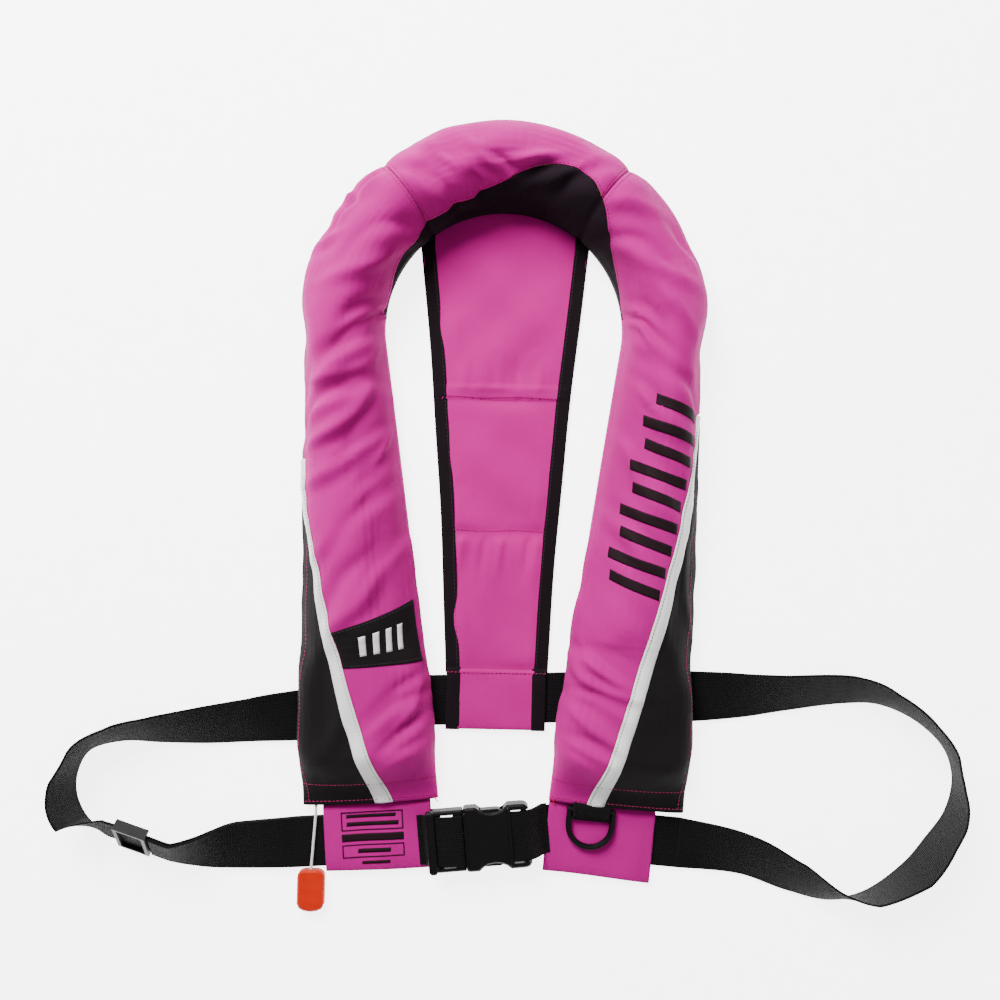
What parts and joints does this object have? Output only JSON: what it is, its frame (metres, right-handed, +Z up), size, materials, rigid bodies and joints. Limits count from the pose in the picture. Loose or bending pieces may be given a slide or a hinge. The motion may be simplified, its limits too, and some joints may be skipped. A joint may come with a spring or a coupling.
{
  "type": "inflatable life jacket",
  "caption": "Horseshoe-shaped inflatable life jacket with pink cover, back panel, waist belt with side-release buckle, D-ring and pull toggle.",
  "frame": {"origin": "middle of the base, on the floor that the jacket lies on, cord and toggle left out", "axes": "+X across the chest to the right-hand lobe, +Y from the hem to the collar, +Z up from the floor"},
  "size_m": [0.7082, 0.6196, 0.0591],
  "materials": {
    "pink_fabric": "woven polyester, soft sheen",
    "black_fabric": "woven polyester, matt",
    "reflective_tape": "glass-bead tape, satin",
    "black_webbing": "ribbed polyester webbing",
    "black_plastic": "moulded acetal, fine grain",
    "bladder_film": "coated nylon",
    "orange_plastic": "moulded, satin",
    "white_cord": "twisted polyester cord",
    "bare_steel": "zinc-plated steel",
    "dark_metal": "black-coated steel"
  },
  "bodies": {
    "jacket": {"sleeve_left": "pink_fabric", "sleeve_right": "pink_fabric", "d_ring_tab": "black_webbing", "buckle_female": "black_plastic", "belt_right_wrap": "black_webbing", "cover_left": "pink_fabric", "side_panel_left": "black_fabric", "piping_left": "reflective_tape", "cover_right": "pink_fabric", "side_panel_right": "black_fabric", "piping_right": "reflective_tape", "cover_collar": "pink_fabric", "neck_lining": "black_fabric", "lining_left": "black_fabric", "lining_collar": "black_fabric", "lining_right": "black_fabric", "rating_patch": "black_fabric", "bladder": "bladder_film", "closure_hook_left": "black_fabric", "closure_loop_left": "black_fabric", "closure_hook_right": "black_fabric", "closure_loop_right": "black_fabric", "inflator_body": "black_plastic", "lever_pin": "bare_steel", "manifold_stem": "black_plastic", "manifold_gasket": "black_fabric", "manifold_nut": "dark_metal", "oral_tube": "black_plastic", "oral_valve": "bare_steel", "whistle": "orange_plastic", "whistle_lanyard": "white_cord", "back_panel": "pink_fabric", "panel_binding_left": "black_fabric", "panel_binding_right": "black_fabric", "back_belt_loop": "pink_fabric", "belt_left_front": "black_webbing", "belt_left_tail": "black_webbing", "belt_left_loop": "black_webbing", "belt_back": "black_webbing", "belt_right_loop": "black_webbing", "belt_right_front": "black_webbing", "pull_cord": "white_cord"},
    "buckle_male_half": {"buckle_male": "black_plastic", "belt_left_wrap": "black_webbing"},
    "prong_upper": {"buckle_prong_upper": "black_plastic"},
    "prong_lower": {"buckle_prong_lower": "black_plastic"},
    "d_ring_loop": {"d_ring": "dark_metal"},
    "slide": {"belt_slider": "black_plastic"},
    "pull_handle": {"pull_toggle": "orange_plastic"},
    "lever": {"inflator_lever": "orange_plastic"},
    "pin": {"firing_pin": "bare_steel"},
    "cylinder": {"gas_cylinder": "bare_steel"},
    "mouthpiece_cap": {"oral_cap": "orange_plastic"}
  },
  "joints": [
    {"name": "buckle_release", "type": "slide", "parent": "jacket", "child": "buckle_male_half", "axis": [-0.9945, -0.1045, 0], "range_m": [0, 0.038]},
    {"name": "prong_upper_squeeze", "type": "hinge", "parent": "buckle_male_half", "child": "prong_upper", "pos_m": [-0.0329, -0.24143, 0.014], "axis": [0, 0, -1], "range_deg": [0, 8], "stiffness_Nm_per_rad": 0.4},
    {"name": "prong_lower_squeeze", "type": "hinge", "parent": "buckle_male_half", "child": "prong_lower", "pos_m": [-0.03018, -0.26729, 0.014], "axis": [0, 0, 1], "range_deg": [0, 8], "stiffness_Nm_per_rad": 0.4},
    {"name": "d_ring_swing", "type": "hinge", "parent": "jacket", "child": "d_ring_loop", "pos_m": [0.06472, -0.23224, 0.0095], "axis": [-0.9972, 0.0743, 0], "range_deg": [0, 100]},
    {"name": "belt_slide_adjust", "type": "slide", "parent": "jacket", "child": "slide", "axis": [-0.9489, 0.3157, 0], "range_m": [0, 0.008]},
    {"name": "toggle_pull", "type": "slide", "parent": "jacket", "child": "pull_handle", "axis": [0, -1, 0], "range_m": [0, 0.026]},
    {"name": "lever_turn", "type": "hinge", "parent": "jacket", "child": "lever", "pos_m": [-0.1378, -0.1722, 0.018], "axis": [0, 0, 1], "range_deg": [0, 92]},
    {"name": "firing_pin_drive", "type": "slide", "parent": "jacket", "child": "pin", "axis": [0, 1, 0], "range_m": [0, 0.0027]},
    {"name": "cylinder_unscrew", "type": "hinge", "parent": "jacket", "child": "cylinder", "pos_m": [-0.1193, -0.10705, 0.018], "axis": [0, 1, 0], "continuous": true},
    {"name": "mouthpiece_cap_pull", "type": "slide", "parent": "jacket", "child": "mouthpiece_cap", "axis": [0, -1, 0], "range_m": [0, 0.014]}
  ],
  "couplings": [
    {"joint": "prong_lower_squeeze", "follows": "prong_upper_squeeze", "ratio": 1},
    {"joint": "lever_turn", "follows": "toggle_pull", "rad_per_m": 60.4},
    {"joint": "firing_pin_drive", "follows": "toggle_pull", "ratio": 0.0962}
  ]
}
